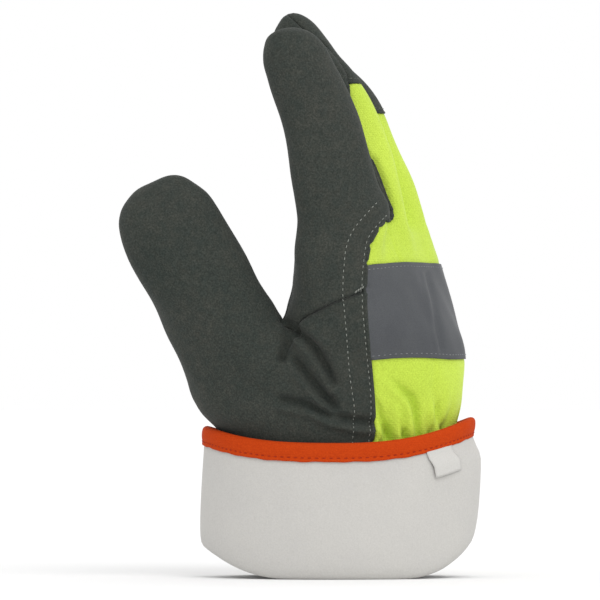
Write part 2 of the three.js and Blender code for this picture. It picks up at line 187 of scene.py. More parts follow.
def tube_distance(lines, x, y, z):
    """Distance to the tube in millimetres, close to true near its surface."""
    nudge = 0.25
    dx, dy, lean, share, across_squared = oval_parts(lines, x, y, z)
    value = dx**2 + (dy / share) ** 2 - across_squared
    across = 2 * dx
    along = 2 * dy / share**2 - 2 * lean * dx
    up = (oval_value(lines, x, y, z + nudge) - oval_value(lines, x, y, z - nudge)) / (2 * nudge)
    steepness = np.sqrt(across**2 + along**2 + up**2)
    least = np.sqrt(np.maximum(across_squared, 4.0))
    return value / np.maximum(steepness, least)


def soft_union(a, b, width):
    share = np.clip(0.5 + 0.5 * (b - a) / width, 0, 1)
    return b * (1 - share) + a * share - width * share * (1 - share)


def form_distance(x, y, z):
    """Distance to the surface of the whole form."""
    hand = tube_distance(HAND_LINES, x, y, z)
    thumb = np.maximum(tube_distance(THUMB_LINES, x, y, z), THUMB_FOOT - z)
    body = soft_union(hand, thumb, np.interp(z, THUMB_BLEND_HEIGHTS, THUMB_BLENDS))
    fingers = [np.maximum(tube_distance(lines, x, y, z), FINGER_FOOT - z) for lines in FINGER_LINES.values()]
    return soft_union(body, np.minimum.reduce(fingers), FINGER_BLEND)


def spaced(low, high, step, fine_at=(), fine_step=None, reach=2.0):
    """Grid lines from low to high, closer together round some places."""
    lines = [low]
    while lines[-1] < high:
        near = any(abs(lines[-1] + step / 2 - place) < reach for place in fine_at)
        lines.append(lines[-1] + (fine_step if near else step))
    return np.array(lines)


def net_surface(xs, ys, zs, values):
    """Points and four-sided faces of the zero surface of values on a grid."""
    inside = values < 0
    nx, ny, nz = values.shape
    corners = [(i, j, k) for i in (0, 1) for j in (0, 1) for k in (0, 1)]
    count = sum(
        inside[i : nx - 1 + i, j : ny - 1 + j, k : nz - 1 + k].astype(np.int8) for i, j, k in corners
    )
    cells = np.argwhere((count > 0) & (count < 8))
    number = np.full((nx - 1, ny - 1, nz - 1), -1, np.int64)
    number[tuple(cells.T)] = np.arange(len(cells))
    total = np.zeros((len(cells), 3))
    hits = np.zeros(len(cells))
    for a in corners:
        for axis in range(3):
            if a[axis]:
                continue
            b = tuple(1 if n == axis else a[n] for n in range(3))
            ia, ib = cells + a, cells + b
            va, vb = values[tuple(ia.T)], values[tuple(ib.T)]
            crossed = (va < 0) != (vb < 0)
            share = np.where(crossed, va / np.where(va == vb, 1, va - vb), 0)[:, None]
            pa = np.stack((xs[ia[:, 0]], ys[ia[:, 1]], zs[ia[:, 2]]), 1)
            pb = np.stack((xs[ib[:, 0]], ys[ib[:, 1]], zs[ib[:, 2]]), 1)
            total += np.where(crossed[:, None], pa + (pb - pa) * share, 0)
            hits += crossed
    points = total / hits[:, None]
    faces = []
    for axis in range(3):
        u, v = (axis + 1) % 3, (axis + 2) % 3
        first = np.take(inside, range(values.shape[axis] - 1), axis)
        second = np.take(inside, range(1, values.shape[axis]), axis)
        edges = np.argwhere(first != second)
        for side in (u, v):
            edges = edges[(edges[:, side] > 0) & (edges[:, side] < values.shape[side] - 1)]
        outward = first[tuple(edges.T)]
        ring = []
        for du, dv in ((-1, -1), (0, -1), (0, 0), (-1, 0)):
            cell = edges.copy()
            cell[:, u] += du
            cell[:, v] += dv
            ring.append(number[tuple(cell.T)])
        quads = np.stack(ring, 1)
        quads[~outward] = quads[~outward][:, ::-1]
        faces.append(quads)
    return points, np.concatenate(faces)


def unit(vectors):
    return vectors / np.maximum(np.linalg.norm(vectors, axis=1, keepdims=True), 1e-9)


def form_normals(points):
    """Outward directions of the form's surface at some points."""
    nudge = 0.3
    slope = []
    for axis in range(3):
        step = nudge * np.eye(3)[axis]
        slope.append(form_distance(*(points + step).T) - form_distance(*(points - step).T))
    return unit(np.stack(slope, 1))


GRID_STEP = 1.3
FINGER_GAPS = (-24.0, 0.0, 24.0)
WRIST_SEAM = 46.3
grid_x = spaced(-86.0, 78.0, GRID_STEP)
grid_y = spaced(-54.0, 54.0, GRID_STEP, FINGER_GAPS, GRID_STEP * 0.4, 2.2)
grid_z = spaced(WRIST_SEAM - 4, 252.0, GRID_STEP)
grid_values = form_distance(grid_x[:, None, None], grid_y[None, :, None], grid_z[None, None, :])
form_points, form_quads = net_surface(grid_x, grid_y, grid_z, grid_values)
for _ in range(3):
    normals = form_normals(form_points)
    distance = form_distance(*form_points.T)[:, None]
    form_points = form_points - np.clip(distance, -1.0, 1.0) * normals * 0.9
form_triangles = np.concatenate((form_quads[:, [0, 1, 2]], form_quads[:, [0, 2, 3]]))


def split(points, pinned, triangles, field):
    """Cuts triangles where field is zero. Gives the points, which of them may not move, and both parts."""
    value = field(*points.T)
    edges = np.unique(np.sort(triangles[:, [[0, 1], [1, 2], [2, 0]]].reshape(-1, 2), axis=1), axis=0)
    for near, far in ((0, 1), (1, 0)):
        a, b = edges[:, near], edges[:, far]
        crossed = (value[a] < 0) != (value[b] < 0)
        share = value[a] / np.where(crossed, value[a] - value[b], 1)
        close = crossed & (share < 0.25) & ~pinned[a] & (value[a] != 0)
        moved = points[a[close]] + (points[b[close]] - points[a[close]]) * share[close, None]
        points[a[close]] = moved
        value[a[close]] = 0
    sign = np.sign(value)
    a, b = edges.T
    cut = edges[sign[a] * sign[b] < 0]
    share = (value[cut[:, 0]] / (value[cut[:, 0]] - value[cut[:, 1]]))[:, None]
    fresh = points[cut[:, 0]] + (points[cut[:, 1]] - points[cut[:, 0]]) * share
    number = {(int(i), int(j)): len(points) + n for n, (i, j) in enumerate(cut)}
    points = np.concatenate((points, fresh))
    pinned = np.concatenate((pinned | (value == 0), np.ones(len(fresh), bool)))
    corner_signs = sign[triangles]
    mixed = (corner_signs.max(1) > 0) & (corner_signs.min(1) < 0)
    plain = triangles[~mixed]
    middle_value = field(*points[plain].mean(1).T)
    whole_sign = np.where(np.abs(sign[plain].sum(1)) > 0, sign[plain].sum(1), np.sign(middle_value))
    cut_above, cut_below = [], []
    for triangle in triangles[mixed].tolist():
        signs = [sign[i] for i in triangle]
        # turn the triangle until its first corner is the odd one out, or the one on the line
        turn = signs.index(0) if 0 in signs else [s * sum(signs) < 0 for s in signs].index(True)
        first, second, third = triangle[turn:] + triangle[:turn]
        if 0 in signs:
            middle = number[tuple(sorted((second, third)))]
            parts = [((first, second, middle), sign[second]), ((first, middle, third), sign[third])]
        else:
            left = number[tuple(sorted((first, second)))]
            right = number[tuple(sorted((first, third)))]
            parts = [
                ((first, left, right), sign[first]),
                ((left, second, third), sign[second]),
                ((left, third, right), sign[second]),
            ]
        for part, side in parts:
            (cut_above if side > 0 else cut_below).append(part)
    above = np.concatenate((plain[whole_sign > 0], np.array(cut_above, int).reshape(-1, 3)))
    below = np.concatenate((plain[whole_sign <= 0], np.array(cut_below, int).reshape(-1, 3)))
    return points, pinned, above, below


def path_distance(x, z, path):
    """Distance from points to a path, both as X and Z seen from the thumb side."""
    best = np.full(np.shape(x), 1e9)
    for (x0, z0), (x1, z1) in zip(path[:-1], path[1:]):
        length = (x1 - x0) ** 2 + (z1 - z0) ** 2
        share = np.clip(((x - x0) * (x1 - x0) + (z - z0) * (z1 - z0)) / length, 0, 1)
        best = np.minimum(best, np.hypot(x - x0 - share * (x1 - x0), z - z0 - share * (z1 - z0)))
    return best


def inside_outline(x, z, outline):
    """Distance to a closed outline in X and Z, above zero inside it."""
    closed = list(outline) + [outline[0]]
    inside = np.zeros(np.shape(x), bool)
    for (x0, z0), (x1, z1) in zip(closed[:-1], closed[1:]):
        if z0 == z1:
            continue
        crosses = (z0 > z) != (z1 > z)
        inside ^= crosses & (x < x0 + (z - z0) * (x1 - x0) / (z1 - z0))
    return path_distance(x, z, closed) * np.where(inside, 1, -1)


# Where the pieces meet. The leather edge and the thumb seam are read as X and Z from the thumb side,
# and on the fingers the border runs along the middle of each side.
LEATHER_EDGE = [
    (31, 30), (31.1, 60.2), (31.8, 66), (32, 71.9), (31.4, 80.3), (30.6, 90), (29.6, 100),
    (28.8, 110), (28.2, 122.5), (28.4, 131), (28.6, 138.5), (29.1, 142.2), (29.9, 146.9),
    (31.5, 150.8), (33.5, 154.5), (36.5, 157.4),
]
FABRIC_OUTLINE = LEATHER_EDGE + [(41.5, 157.8), (120.0, 157.8), (120.0, 30.0)]
THUMB_SEAM = [
    (-9, 113), (-7, 111.5), (-4.6, 110.6), (-1.2, 112.8), (2.5, 115.4), (8.4, 118.2), (13.7, 120.8),
    (19.1, 122.9), (25.4, 125.3), (29.6, 128.3),
]
LITTLE_SIDE = [
    (15.5, 30), (16, 60), (17.5, 77), (22, 90), (31, 105), (39, 122), (41.2, 135),
    (40, 146), (38, 157), (35.5, 168), (31.7, 180), (28, 190), (25, 198), (23, 207),
]
INDEX_BACK = -24.0
LITTLE_FRONT = 24.0
THUMB_BACK = -6.0
FRONT_SEAM = 149.0
CAP_EDGES = {"middle": 218.0, "ring": 205.5, "little": 178.0}
MIDDLE_THUMB_SIDE = [
    (22, 150), (31, 154.4), (38, 156.6), (40.8, 158.2), (41.3, 160.2), (40.2, 163.4), (37.8, 169.2),
    (34.8, 177), (31.2, 185), (27, 191), (24, 199), (21.5, 208), (20.7, 216.5), (20.4, 220),
    (15.6, 229.5), (10.6, 234.6), (4.8, 238.4), (1.6, 241), (-3.6, 246),
]
little_side_x, little_side_z = np.array(LITTLE_SIDE).T
little_line = smooth_through(little_side_z, little_side_x)
middle_side_x, middle_side_z = np.array(MIDDLE_THUMB_SIDE).T
middle_line = smooth_through(middle_side_z, middle_side_x)


def side_line(y, z):
    """X of the border along the sides of the fingers and of the little finger's side of the hand."""
    from_middle, from_ring, from_little = (y - FINGER_PLACES[name] for name in ("middle", "ring", "little"))
    middle = FINGER_LINES["middle"]["x"](z) + FINGER_LEAN * from_middle
    middle = np.where((from_middle < 0) & (z > MIDDLE_THUMB_SIDE[0][1]), middle_line(z), middle)
    ring = FINGER_LINES["ring"]["x"](z) + FINGER_LEAN * from_ring
    little = little_line(z) + FINGER_LEAN * np.clip(from_little, -12, 12) * np.clip((z - 80) / 40, 0, 1)
    return np.where(y < 0, middle, np.where(y < LITTLE_FRONT, ring, little))


def fabric_field(x, y, z):
    """Above zero on the yellow back and the caps."""
    thumb_side = np.minimum(inside_outline(x, z, FABRIC_OUTLINE), INDEX_BACK + 1.0 - y)
    far_side = np.minimum(x - side_line(y, z), y - INDEX_BACK)
    return np.maximum(thumb_side, far_side)


def cap_field(x, y, z):
    """Above zero above the lower edges of the fingertip caps."""
    far_edge = np.where(y < LITTLE_FRONT, CAP_EDGES["ring"], CAP_EDGES["little"])
    return z - np.where(y < 0, CAP_EDGES["middle"], far_edge)


def index_field(x, y, z):
    """Above zero on the index finger and the strip under it."""
    outline = THUMB_SEAM + [(120.0, 128.3), (120.0, 260.0), (-30.0, 260.0), (-30.0, 175.0), (-9.0, 118.0)]
    return np.minimum(inside_outline(x, z, outline), INDEX_BACK - y)


def finger_front_field(x, y, z):
    """Above zero on the leather fronts of the two middle fingers."""
    return np.minimum(np.minimum(z - FRONT_SEAM, y - INDEX_BACK), LITTLE_FRONT - y)


# each cut: the panel that is cut, where, and the names of the parts above and below zero
CUTS = [
    ("form", lambda x, y, z: z - WRIST_SEAM, "glove", "below_wrist"),
    ("glove", fabric_field, "back_panel", "leather"),
    ("back_panel", cap_field, "caps", "back_panel"),
    ("leather", index_field, "index_finger", "leather"),
    ("leather", finger_front_field, "fronts", "leather"),
    ("leather", lambda x, y, z: y - THUMB_BACK, "palm_panel", "thumb_panel"),
    ("fronts", lambda x, y, z: y, "ring_front", "middle_front"),
    ("caps", lambda x, y, z: y, "far_caps", "middle_cap"),
    ("far_caps", lambda x, y, z: y - LITTLE_FRONT, "little_cap", "ring_cap"),
]
panels = {"form": form_triangles}
points = form_points
pinned = np.zeros(len(points), bool)
for panel, field, above, below in CUTS:
    points, pinned, panels[above], panels[below] = split(points, pinned, panels[panel], field)
back = panels["back_panel"]
surface_normals = form_normals(points)

# Folds that run out from the crotch of the thumb, the elastic gathers above the cuff, and the valleys
# along the seams. Each is a small move in or out along the surface, in millimetres, and each valley
# has its depth and its width.
SLOT = [(32.6, 184), (35.6, 176), (38.2, 168), (39.6, 160)]
CROTCH_FOLD = [(-4.4, 110.6), (-5.2, 107), (-6.3, 103.5), (-7.4, 100), (-8.2, 97)]
SOFT_FOLDS = [
    ([(-3.5, 109.3), (2, 105), (6.6, 99.7), (10.4, 93.5), (14.2, 86.5)], 6.6, 2.2),
    ([(-3.5, 96.5), (0.2, 91.8), (3.9, 87.3), (9.6, 80.6), (15.4, 75.4)], 6, 2.4),
    ([(-9.5, 79), (3.7, 76.5), (12.1, 72), (23.3, 69.3), (31.8, 68.6)], 3.8, 1.8),
    ([(-30, 92), (-22, 84), (-12, 79)], 0.6, 3),
]
CROTCH_VALLEY, SLOT_VALLEY, SIDE_VALLEY = (6.4, 1.9), (1.6, 1.5), (0.6, 0.9)
THUMB_SEAM_VALLEY, THUMB_SEAM_RIDGE = (1.5, 0.9), (0.5, 1.8)
PALM_SEAM_VALLEY = (0.8, 0.9)
RIDGE_SHARE, RIDGE_BELOW, SEAM_RIDGE_BELOW = 0.45, 3.6, 2.4
PALM_LEFT, PALM_FRONT, PALM_EDGE = -14.0, -30.0, 8.0
LOW_SEAM_TOP, HIGH_SEAM_FROM, HIGH_SEAM_TO = 116.0, 113.0, 160.0
DEEPEST_FOLD = 7.5
FOLDS_BACK = -8.0
GATHER_LOW, GATHER_HIGH, GATHER_PITCH, GATHER_DEPTH = 58.0, 85.0, 7.4, 5.4
WRIST_MIDDLE, WRIST_RADIUS = 16.0, 42.0
TAPE_LOW, TAPE_HIGH = 96.3, 139.0
TAPE_CREASE = [(55.4, 133.8), (58.2, 119), (61.8, 100.8)]


def valley(distance, depth, width):
    """A rounded groove along the line where the distance is zero."""
    return -depth * np.exp(-((distance / width) ** 2))


def gather_relief(x, y, z):
    """Folds drawn together by the elastic, deeper towards the wrist."""
    angle = np.arctan2(y, x - WRIST_MIDDLE)
    along = angle * WRIST_RADIUS
    sway = 1.3 * np.sin(z * 0.17 + angle * 7) + 1.1 * np.sin(angle * 17.0)
    wave = np.sqrt(np.cos(math.pi * (along + sway) / GATHER_PITCH) ** 2 + 0.01)
    uneven = 0.8 + 0.2 * np.sin(angle * 5.0 + 1.3)
    height = (GATHER_HIGH + 3.0 * np.sin(angle * 13.0) - z) / (GATHER_HIGH - GATHER_LOW)
    return GATHER_DEPTH * np.clip(height, 0, 1) ** 1.7 * uneven * (wave - 0.7)


def slow_sway(x, y, z):
    """The gentle unevenness of a lined glove."""
    return 0.4 * (
        np.sin(x * 0.13 + 1.1) * np.sin(z * 0.11 + 0.4)
        + np.sin(y * 0.17 + x * 0.05) * np.sin(z * 0.16 + 2.0)
        + 0.6 * np.sin(x * 0.31 + z * 0.23) * np.sin(y * 0.29 + 0.7)
    )


def relief(x, y, z):
    """Everything that leather and fabric share."""
    thumb_side = y < FOLDS_BACK
    on_palm = (x < side_line(y, z) - PALM_EDGE) & (y > PALM_FRONT)
    high_palm = on_palm & (x > PALM_LEFT)
    beside_index = (z > HIGH_SEAM_FROM) & (z < HIGH_SEAM_TO)
    on_two_fingers = high_palm & (y > INDEX_BACK) & (y < LITTLE_FRONT)
    fading = np.clip((LITTLE_FRONT - y) / 4.0, 0, 1)
    seam = valley(path_distance(x, z, THUMB_SEAM), *THUMB_SEAM_VALLEY)
    below_seam = valley(path_distance(x, z + SEAM_RIDGE_BELOW, THUMB_SEAM), *THUMB_SEAM_RIDGE)
    moves = [(thumb_side, valley(path_distance(x, z, CROTCH_FOLD), *CROTCH_VALLEY))]
    for path, depth, width in SOFT_FOLDS:
        taper = np.clip(np.minimum(x - path[0][0] + 3, path[-1][0] + 3 - x) / 5.0, 0, 1)
        ridge = valley(path_distance(x, z + RIDGE_BELOW, path), depth, width)
        moves.append((thumb_side, taper * valley(path_distance(x, z, path), depth, width)))
        moves.append((thumb_side, -RIDGE_SHARE * taper * ridge))
    moves += [
        (y < -20, seam - below_seam),
        (on_palm & (z < LOW_SEAM_TOP), valley(y - THUMB_BACK, *PALM_SEAM_VALLEY)),
        (high_palm & beside_index, valley(y - INDEX_BACK, *PALM_SEAM_VALLEY)),
        (on_two_fingers, fading * valley(z - FRONT_SEAM, *PALM_SEAM_VALLEY)),
        (thumb_side & (y > INDEX_BACK), valley(path_distance(x, z, SLOT), *SLOT_VALLEY)),
        ((z > HIGH_SEAM_TO) & (y > INDEX_BACK), valley(x - side_line(y, z), *SIDE_VALLEY)),
    ]
    move = slow_sway(x, y, z)
    for where, amount in moves:
        move += np.where(where, amount, 0)
    return np.where(move < 0, DEEPEST_FOLD * np.tanh(move / DEEPEST_FOLD), move)


# Above this height the inner faces of the leather and the fabric are given the dark leather instead of the
# pale lining: painted shade inside the glove.
PAINTED_SHADE_INSIDE_ABOVE = 110.0


def smooth_object(name, vertices, faces, turn_outward=True):
    """An object from vertices in millimetres, shaded smooth."""
    mesh = bpy.data.meshes.new(name)
    mesh.from_pydata((np.array(vertices) * MM).tolist(), [], faces)
    mesh.polygons.foreach_set("use_smooth", [True] * len(mesh.polygons))
    if turn_outward:
        builder = bmesh.new()
        builder.from_mesh(mesh)
        bmesh.ops.recalc_face_normals(builder, faces=builder.faces)
        builder.to_mesh(mesh)
        builder.free()
    piece = bpy.data.objects.new(name, mesh)
    bpy.context.scene.collection.objects.link(piece)
    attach(piece, "root")
    return piece


def make_piece(name, triangles, lift, wall, lined=True):
    """A piece from some triangles of the form, moved out by lift and given a wall towards the inside.
    A lined piece has four material slots: outside and inside below the height where the lining stops, and
    the same above it, where the inside is given a dark material as painted shade."""
    used, faces = np.unique(triangles, return_inverse=True)
    moved = points[used] + surface_normals[used] * lift(*points[used].T)[:, None]
    piece = smooth_object(name, moved, faces.reshape(-1, 3).tolist(), False)
    thick = piece.modifiers.new("wall", "SOLIDIFY")
    thick.thickness = wall * MM
    thick.offset = -1
    thick.use_rim = True
    if lined:
        high = points[triangles][:, :, 2].mean(1) > PAINTED_SHADE_INSIDE_ABOVE
        piece.data.polygons.foreach_set("material_index", np.where(high, 2, 0))
        thick.material_offset = 1
        thick.material_offset_rim = 0
    return piece


# Leather: thumb with the ball of the thumb, index finger with the edge of the palm, palm with the little
# finger, the fronts of the two middle fingers and three fingertip caps. Suede-like synthetic leather,
# dark grey with a green cast, backed by a pale fleece lining inside the wrist; higher up the inside is given
# the dark leather as painted shade.
LEATHER_LIFT = 0.45
LEATHER_WALL = 2.3
LEATHER_GREYS = [
    (0.30, (0.024, 0.028, 0.0245)), (0.52, (0.037, 0.0425, 0.0378)), (0.76, (0.059, 0.065, 0.058)),
]


def add_node(tree, kind, **values):
    node = tree.nodes.new(kind)
    for name, value in values.items():
        node.inputs[name].default_value = value
    return node


def speckle(tree, scale, detail):
    return add_node(tree, "ShaderNodeTexNoise", Scale=scale, Detail=detail, Roughness=0.6)


def ribs(tree, scale, distortion, direction):
    wave = add_node(tree, "ShaderNodeTexWave", Scale=scale, Distortion=distortion, Detail=1.0)
    wave.bands_direction = direction
    return wave


def colours_along(tree, value, stops):
    """Colours picked by a value from 0 to 1."""
    ramp = tree.nodes.new("ShaderNodeValToRGB")
    while len(ramp.color_ramp.elements) < len(stops):
        ramp.color_ramp.elements.new(0.5)
    for element, (position, colour) in zip(ramp.color_ramp.elements, stops):
        element.position = position
        element.color = (*colour, 1)
    tree.links.new(value, ramp.inputs["Fac"])
    return ramp.outputs["Color"]


def multiplied(tree, a, b):
    mix = tree.nodes.new("ShaderNodeMix")
    mix.data_type = "RGBA"
    mix.blend_type = "MULTIPLY"
    mix.inputs[0].default_value = 1.0
    tree.links.new(a, mix.inputs[6])
    tree.links.new(b, mix.inputs[7])
    return mix.outputs[2]


def patterned_material(name, patterns, colours, bumps, **values):
    """A material of named patterns: speckle with its scale and detail, or ribs with their scale, distortion
    and direction. Its colour is the product of colours along patterns. Bumps have a depth in millimetres,
    and the values go straight to the shader."""
    material = bpy.data.materials.new(name)
    material.use_nodes = True
    tree = material.node_tree
    shader = tree.nodes["Principled BSDF"]
    place = tree.nodes.new("ShaderNodeTexCoord").outputs["Object"]
    made = {}
    for pattern, numbers in patterns.items():
        node = speckle(tree, *numbers) if len(numbers) == 2 else ribs(tree, *numbers)
        tree.links.new(place, node.inputs["Vector"])
        made[pattern] = node.outputs["Fac"]
    colour = None
    for pattern, stops in colours:
        layer = colours_along(tree, made[pattern], stops)
        colour = layer if colour is None else multiplied(tree, colour, layer)
    tree.links.new(colour, shader.inputs["Base Color"])
    normal = None
    for pattern, depth in bumps:
        bump = add_node(tree, "ShaderNodeBump", Strength=1.0, Distance=depth * MM)
        tree.links.new(made[pattern], bump.inputs["Height"])
        if normal is not None:
            tree.links.new(normal, bump.inputs["Normal"])
        normal = bump.outputs["Normal"]
        tree.links.new(normal, shader.inputs["Normal"])
    for value_name, value in values.items():
        shader.inputs[value_name.replace("_", " ")].default_value = value
    return material


leather = patterned_material(
    "leather",
    {"nap": (2600, 3), "grain": (1300, 3), "mottle": (260, 3), "cloud": (34, 3)},
    [
        ("grain", LEATHER_GREYS),
        ("cloud", [(0.3, (0.86, 0.90, 0.88)), (0.7, (1.11, 1.07, 1.04))]),
        ("mottle", [(0.35, (0.89, 0.93, 0.93)), (0.65, (1.12, 1.07, 1.04))]),
    ],
    [("cloud", 0.5), ("grain", 0.10), ("nap", 0.05)],
    Roughness=0.85,
    Specular_IOR_Level=0.15,
    Sheen_Weight=0.06,
    Sheen_Roughness=0.5,
)
lining = patterned_material(
    "fleece_lining",
    {"pile": (700, 4)},
    [("pile", [(0.3, (0.42, 0.40, 0.36)), (0.7, (0.66, 0.64, 0.59))])],
    [("pile", 0.7)],
    Roughness=0.95,
)


def dress(piece, *materials):
    for material in materials:
        piece.data.materials.append(material)


LEATHER_PIECES = {
    "thumb": "thumb_panel",
    "index_finger_leather": "index_finger",
    "palm": "palm_panel",
    "middle_finger_front": "middle_front",
    "ring_finger_front": "ring_front",
    "middle_fingertip_cap": "middle_cap",
    "ring_fingertip_cap": "ring_cap",
    "little_fingertip_cap": "little_cap",
}
for name, node in LEATHER_PIECES.items():
    piece = make_piece(name, panels[node], lambda x, y, z: relief(x, y, z) + LEATHER_LIFT, LEATHER_WALL)
    # inside above the lining height: the dark leather as painted shade
    dress(piece, leather, lining, leather, leather)
    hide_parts(node)

# The rolled edge of the leather where it lies on the yellow fabric: the hide is turned under there,
# so the edge is round and stands a little proud of the fabric.
EDGE_WIDTH, EDGE_HEIGHT, EDGE_SINK = 1.0, 0.75, 0.35
BACK_EDGE_SIZE, CAP_EDGE_SIZE = 1.0, 0.6
END_TAPER = 0.35


def border_paths(triangles, field, tolerance=0.02):
    """The edge of a piece where a field is zero, as lists of point numbers in order."""
    edges = np.sort(triangles[:, [[0, 1], [1, 2], [2, 0]]].reshape(-1, 2), axis=1)
    edges, times = np.unique(edges, axis=0, return_counts=True)
    edges = edges[times == 1]
    on_line = np.abs(field(*points[edges].mean(1).T)) < tolerance
    neighbours = {}
    for i, j in edges[on_line].tolist():
        neighbours.setdefault(i, []).append(j)
        neighbours.setdefault(j, []).append(i)
    paths = []
    unused = set(neighbours)
    while unused:
        ends = [i for i in unused if len(neighbours[i]) == 1]
        here = min(ends) if ends else min(unused)
        path = []
        while here is not None:
            path.append(here)
            unused.discard(here)
            here = next((n for n in neighbours[here] if n in unused), None)
        if len(path) > 6:
            paths.append(path)
    return paths


def lengths_along(path):
    return np.concatenate(([0], np.cumsum(np.linalg.norm(np.diff(path, axis=0), axis=1))))


def between_points(where, lengths, values):
    return np.stack([np.interp(where, lengths, values[:, k]) for k in range(3)], 1)


def evenly(path, step):
    """Points of a path at even steps along it."""
    path = np.asarray(path, float)
    lengths = lengths_along(path)
    count = max(int(round(lengths[-1] / step)), 2)
    return between_points(np.linspace(0, lengths[-1], count + 1), lengths, path)


def softened(path, times=3):
    path = path.copy()
    for _ in range(times):
        path[1:-1] = 0.25 * path[:-2] + 0.5 * path[1:-1] + 0.25 * path[2:]
    return path


def onto_form(path):
    """Moves points onto the surface of the form."""
    path = np.array(path, float)
    for _ in range(4):
        path -= form_normals(path) * form_distance(*path.T)[:, None]
    return path


def ring_faces(rings, sides, closed):
    """Four-sided faces between rings of points that follow each other."""
    faces = []
    for i in range(rings if closed else rings - 1):
        here, onward = i * sides, (i + 1) % rings * sides
        for k in range(sides):
            after = (k + 1) % sides
            faces.append((here + k, here + after, onward + after, onward + k))
    return faces


def swept(path, normals, width, height, sides=8):
    """A round or flat bead along a path that lies on a surface."""
    sideways = unit(np.cross(unit(np.gradient(path, axis=0)), normals))
    count = len(path)
    taper = np.ones(count)
    taper[0] = taper[-1] = END_TAPER
    vertices = []
    for i in range(count):
        for k in range(sides):
            angle = 2 * math.pi * k / sides
            across = sideways[i] * math.cos(angle) * width * taper[i]
            out = normals[i] * math.sin(angle) * height * taper[i]
            vertices.append(path[i] + across + out)
    faces = ring_faces(count, sides, False)
    faces.append(tuple(reversed(range(sides))))
    faces.append(tuple((count - 1) * sides + k for k in range(sides)))
    return vertices, faces


def joined_piece(name, parts, material):
    """One object from several lists of vertices and faces, in millimetres."""
    vertices, faces = [], []
    for part_vertices, part_faces in parts:
        start = len(vertices)
        vertices += list(part_vertices)
        faces += [tuple(i + start for i in face) for face in part_faces]
    piece = smooth_object(name, vertices, faces)
    dress(piece, material)
    return piece


def lifted(path, height):
    """A path on the form moved out to the height that the leather or fabric has there."""
    normals = form_normals(path)
    return path + normals * (relief(*path.T) + height)[:, None], normals


def smooth_borders(triangles, field, step=1.2):
    """The edges of a piece where a field is zero, as even and softened paths."""
    return [softened(evenly(points[border], step)) for border in border_paths(triangles, field)]


edge_paths = [onto_form(path) for path in smooth_borders(back, fabric_field)]
cap_edge_paths = [onto_form(path) for path in smooth_borders(back, cap_field)]
edge_parts = []
for paths, size in ((edge_paths, BACK_EDGE_SIZE), (cap_edge_paths, CAP_EDGE_SIZE)):
    for path in paths:
        high, normals = lifted(path, LEATHER_LIFT - EDGE_SINK * size)
        edge_parts.append(swept(high, normals, EDGE_WIDTH * size, EDGE_HEIGHT * size))
joined_piece("leather_edges", edge_parts, leather)

# The yellow back: one piece of woven hi-vis fabric over the back of the hand and of three fingers, sewn
# in under the edge of the leather and drawn together by elastic above the cuff.
FABRIC_WALL = 2.0
FABRIC_LIFT = -0.1
FABRIC_EDGE_VALLEY = (0.5, 1.6)
PRESSED_BY_TAPE = 0.15
FABRIC_RIDGE_LEFT = 3.0
FABRIC_FOLDS = [
    ([(33.4, 79), (35.6, 70), (39.6, 60)], 3.2, 1.6),
    ([(39.5, 88), (43.3, 83.7), (48.6, 79.3), (50.6, 74.1), (52.4, 62)], 3.2, 1.9),
    ([(43.6, 69.5), (46.6, 60)], 2, 1.3),
    ([(55.5, 72.5), (56.7, 60)], 1.6, 1.2),
    ([(59.6, 82.5), (60.9, 71.9), (62.6, 62)], 1.8, 1.3),
]


def fabric_folds(x, y, z):
    """The deeper folds above the cuff on the thumb side, each with a soft ridge beside it."""
    move = np.zeros(np.shape(x))
    for path, depth, width in FABRIC_FOLDS:
        taper = np.clip((path[0][1] + 1.0 - z) / 9.0, 0, 1) * (y < FOLDS_BACK)
        move += taper * valley(path_distance(x, z, path), depth, width)
        ridge = valley(path_distance(x + FABRIC_RIDGE_LEFT, z, path), depth, width)
        move -= RIDGE_SHARE * taper * ridge
    return move


def fabric_lift(x, y, z):
    under_tape = (z > TAPE_LOW - 1) & (z < TAPE_HIGH + 1)
    move = relief(x, y, z) + gather_relief(x, y, z) + fabric_folds(x, y, z) + FABRIC_LIFT
    edge = valley(fabric_field(x, y, z), *FABRIC_EDGE_VALLEY)
    return move + edge - np.where(under_tape, PRESSED_BY_TAPE, 0.0)


fabric = patterned_material(
    "hi_vis_fabric",
    {"across": (330, 0.6, "Z"), "along": (330, 0.6, "DIAGONAL"), "thread": (1500, 2), "cloud": (30, 2)},
    [
        ("thread", [(0.30, (0.420, 0.564, 0.043)), (0.70, (0.555, 0.732, 0.074))]),
        ("cloud", [(0.35, (0.94, 0.95, 0.90)), (0.65, (1.03, 1.02, 1.05))]),
    ],
    [("cloud", 0.4), ("across", 0.06), ("along", 0.05)],
    Roughness=0.7,
    Specular_IOR_Level=0.3,
    Sheen_Weight=0.25,
    Sheen_Tint=(0.8, 1.0, 0.35, 1),
)
back_of_hand = make_piece("hi_vis_back", back, fabric_lift, FABRIC_WALL)
# inside above the lining height: the dark leather as painted shade, not the fabric's own lining
dress(back_of_hand, fabric, lining, fabric, leather)
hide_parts("back_panel")

# The reflective tape: a strip of coated grey fabric that lies on the yellow across the back of the hand,
# sewn down along both edges, with one soft crease from edge to edge towards the far end that shows.
TAPE_LIFT, TAPE_WALL, TAPE_BOW = 0.55, 0.5, 0.9
CREASE_VALLEY, CREASE_RIDGE, CREASE_BACK = (0.8, 1.3), (0.35, 1.2), 10.0


def tape_field(x, y, z):
    low = TAPE_LOW + TAPE_BOW * np.sin(np.clip((x - 32.0) / 34.0, 0, 1) * math.pi)
    high = TAPE_HIGH - TAPE_BOW * np.clip(np.abs(x - 48.0) / 16.0, 0, 1.2) ** 2
    return np.minimum(z - low, high - z)


